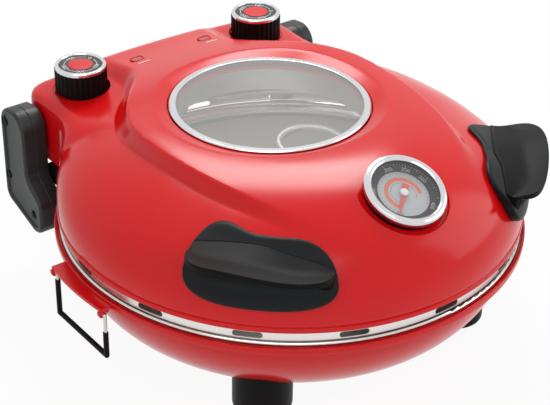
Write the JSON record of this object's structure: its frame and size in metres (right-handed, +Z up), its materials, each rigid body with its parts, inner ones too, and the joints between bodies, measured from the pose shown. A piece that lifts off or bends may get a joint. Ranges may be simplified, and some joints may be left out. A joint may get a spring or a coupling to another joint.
{
  "type": "electric pizza maker",
  "caption": "Round countertop pizza maker with a hinged domed lid, a round window, a thermometer, control knobs, side handles and a baking stone.",
  "frame": {"origin": "on the table, under the middle of the whole object's box. The rim's axis stands 4.5 mm to the right of it and 6.7 mm in front of it", "axes": "+Z up, -Y towards the front where the gauge is, +X to the right seen from the front"},
  "size_m": [0.367, 0.3714, 0.1783],
  "materials": {
    "red_paint": "glossy",
    "black_plastic": "satin",
    "grey_plastic": "satin",
    "steel": "brushed",
    "chrome": "polished",
    "fastener": "zinc plated",
    "heater": "satin",
    "stone": "matte",
    "red_moulding": "glossy",
    "glass": "clear",
    "rubber": "matte",
    "dial": "printed",
    "needle_red": "satin",
    "ceramic": "matte",
    "red_lens": "translucent",
    "knob_face": "printed"
  },
  "bodies": {
    "base": {"base_bowl": "red_paint", "base_pan": "steel", "lower_heater": "heater", "lower_heater_clips": "steel", "baking_stone": "stone", "foot_front_left": "black_plastic", "foot_front_right": "black_plastic", "foot_rear_left": "black_plastic", "foot_rear_right": "black_plastic", "foot_screws": "fastener", "foot_nuts": "fastener", "cord_gland": "black_plastic", "terminal_block": "ceramic", "bail_tab": "red_paint", "arm_left_inner": "grey_plastic", "arm_left_outer": "grey_plastic", "arm_right_inner": "grey_plastic", "arm_right_outer": "grey_plastic", "arm_screws": "fastener", "arm_brackets": "black_plastic", "hinge_pin_left": "fastener", "hinge_pin_right": "fastener"},
    "lid": {"lid_shell": "red_moulding", "lid_pan": "steel", "upper_heater": "heater", "upper_heater_clips": "steel", "window_collar": "steel", "window_gasket": "rubber", "window_glass": "glass", "window_ring": "chrome", "control_cover": "red_moulding", "hinge_hanger_left": "steel", "hinge_hanger_right": "steel", "handle_left_plate": "grey_plastic", "handle_left_grip": "black_plastic", "handle_right_plate": "grey_plastic", "handle_right_grip": "black_plastic", "gauge_case": "black_plastic", "gauge_dial": "dial", "gauge_bezel": "chrome", "gauge_glass": "glass", "gauge_probe": "fastener", "thermostat_left": "ceramic", "thermostat_right": "ceramic", "lamp_bezels": "red_moulding", "lamp_lenses": "red_lens"},
    "knob_left": {"knob_left": "black_plastic", "knob_left_ring": "chrome", "knob_left_disc": "knob_face"},
    "knob_right": {"knob_right": "black_plastic", "knob_right_ring": "chrome", "knob_right_disc": "knob_face"},
    "needle": {"gauge_needle": "needle_red"},
    "bail": {"bail_wire": "fastener", "bail_sleeve": "black_plastic"}
  },
  "joints": [
    {"name": "lid_hinge", "type": "hinge", "parent": "base", "child": "lid", "pos_m": [0.0045, 0.1673, 0.1155], "axis": [-1, 0, 0], "range_deg": [0, 100]},
    {"name": "knob_left_turn", "type": "hinge", "parent": "lid", "child": "knob_left", "pos_m": [-0.0804, 0.1533, 0.1465], "axis": [0, 0, -1], "range_deg": [0, 270]},
    {"name": "knob_right_turn", "type": "hinge", "parent": "lid", "child": "knob_right", "pos_m": [0.0894, 0.1533, 0.1465], "axis": [0, 0, -1], "range_deg": [0, 270]},
    {"name": "needle_turn", "type": "hinge", "parent": "lid", "child": "needle", "pos_m": [0.0045, -0.1355, 0.1653], "axis": [0, 0.4226, -0.9063], "range_deg": [0, 270]},
    {"name": "bail_swing", "type": "hinge", "parent": "base", "child": "bail", "pos_m": [-0.1795, -0.0067, 0.0783], "axis": [0, 1, 0], "range_deg": [-12, 105]}
  ]
}
